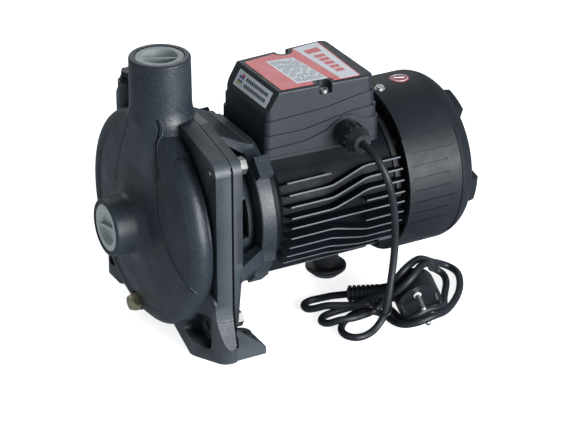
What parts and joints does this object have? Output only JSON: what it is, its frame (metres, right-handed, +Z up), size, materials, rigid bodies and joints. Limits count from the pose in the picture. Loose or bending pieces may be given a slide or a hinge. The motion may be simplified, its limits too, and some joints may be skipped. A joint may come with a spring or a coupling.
{
  "type": "centrifugal water pump",
  "caption": "Close-coupled centrifugal water pump: cast volute with threaded ports, lantern bracket, finned motor with terminal box and fan cover, and a mains cord tied in a hank.",
  "frame": {"origin": "on the floor, midway between the two foot bolt holes", "axes": "+X along the shaft from the suction port to the fan, +Z up, -Y the side with the cable gland"},
  "size_m": [0.332, 0.242, 0.245],
  "materials": {
    "cast_paint": "satin dark grey enamel on cast iron",
    "motor_paint": "satin near-black enamel on aluminium",
    "shield_paint": "matte black paint",
    "cover_plastic": "moulded dark grey plastic",
    "box_plastic": "moulded dark grey plastic, satin",
    "cap_plastic": "light grey polyethylene",
    "brass": "machined brass",
    "dark_steel": "blackened steel plug",
    "zinc_steel": "zinc plated",
    "bright_steel": "ground steel",
    "lamination": "stacked electrical steel",
    "copper": "enamelled copper wire, varnished",
    "cast_aluminium": "die cast",
    "black_rubber": "matte",
    "gasket": "matte gasket sheet",
    "seal_face": "ceramic",
    "carbon": "carbon graphite",
    "fan_plastic": "moulded black plastic",
    "cord_jacket": "black cord jacket, slight sheen",
    "plug_plastic": "moulded black plug",
    "nickel": "nickel plated brass",
    "gland_plastic": "black nylon",
    "label_print": "printed film label",
    "white_print": "printed film sticker",
    "capacitor_case": "white plastic can",
    "terminal_plastic": "moulded thermoset"
  },
  "bodies": {
    "root": {"pump_body": "cast_paint", "drain_plug_washer": "gasket", "priming_plug_washer": "gasket", "casing_gasket": "gasket", "casing_bolts": "zinc_steel", "casing_washers": "zinc_steel", "seal_seat": "seal_face", "motor_bracket": "cast_paint", "motor_housing": "motor_paint", "stator_core": "lamination", "stator_winding": "copper", "front_bearing_outer": "bright_steel", "rear_bearing_outer": "bright_steel", "wave_washer": "bright_steel", "rear_shield": "shield_paint", "tie_rods": "zinc_steel", "tie_rod_nuts": "zinc_steel", "fan_cover": "cover_plastic", "fan_cover_screws": "zinc_steel", "terminal_box_base": "box_plastic", "terminal_box_cover": "box_plastic", "terminal_box_gasket": "gasket", "terminal_box_screws": "zinc_steel", "terminal_block": "terminal_plastic", "capacitor": "capacitor_case", "capacitor_clamp": "zinc_steel", "gland_body": "gland_plastic", "gland_nut": "gland_plastic", "gland_seal": "black_rubber", "cover_label": "label_print", "slope_sticker": "white_print", "round_sticker": "label_print", "rubber_foot": "black_rubber", "foot_screw": "zinc_steel", "power_cord": "cord_jacket", "cord_hank": "cord_jacket", "cord_tie": "gland_plastic", "plug_body": "plug_plastic", "plug_pins": "nickel", "plug_earth_clips": "nickel"},
    "rotor": {"shaft": "bright_steel", "rotor_core": "lamination", "rotor_cage": "cast_aluminium", "impeller": "brass", "impeller_nut": "zinc_steel", "impeller_key": "bright_steel", "seal_ring": "carbon", "seal_spring": "bright_steel", "water_flinger": "black_rubber", "fan": "fan_plastic", "fan_clip": "bright_steel", "front_bearing_inner": "bright_steel", "rear_bearing_inner": "bright_steel"},
    "front_ball_cage": {"front_bearing_balls": "bright_steel"},
    "rear_ball_cage": {"rear_bearing_balls": "bright_steel"},
    "suction_cap": {"suction_cap": "cap_plastic"},
    "discharge_cap": {"discharge_cap": "cap_plastic"},
    "drain_plug": {"drain_plug": "brass"},
    "priming_plug": {"priming_plug": "dark_steel"}
  },
  "joints": [
    {"name": "rotor_spin", "type": "hinge", "parent": "root", "child": "rotor", "pos_m": [0, 0, 0.098], "axis": [1, 0, 0], "continuous": true},
    {"name": "front_cage_spin", "type": "hinge", "parent": "root", "child": "front_ball_cage", "pos_m": [0.033, 0, 0.098], "axis": [1, 0, 0], "continuous": true},
    {"name": "rear_cage_spin", "type": "hinge", "parent": "root", "child": "rear_ball_cage", "pos_m": [0.156, 0, 0.098], "axis": [1, 0, 0], "continuous": true},
    {"name": "suction_cap_pull", "type": "slide", "parent": "root", "child": "suction_cap", "axis": [-1, 0, 0], "range_m": [0, 0.12]},
    {"name": "discharge_cap_pull", "type": "slide", "parent": "root", "child": "discharge_cap", "axis": [0, 0, 1], "range_m": [0, 0.12]},
    {"name": "drain_plug_out", "type": "slide", "parent": "root", "child": "drain_plug", "axis": [-1, 0, 0], "range_m": [0, 0.03]},
    {"name": "priming_plug_out", "type": "slide", "parent": "root", "child": "priming_plug", "axis": [0, 0, 1], "range_m": [0, 0.04]}
  ],
  "couplings": [
    {"joint": "front_cage_spin", "follows": "rotor_spin", "ratio": 0.3807},
    {"joint": "rear_cage_spin", "follows": "rotor_spin", "ratio": 0.3807}
  ]
}
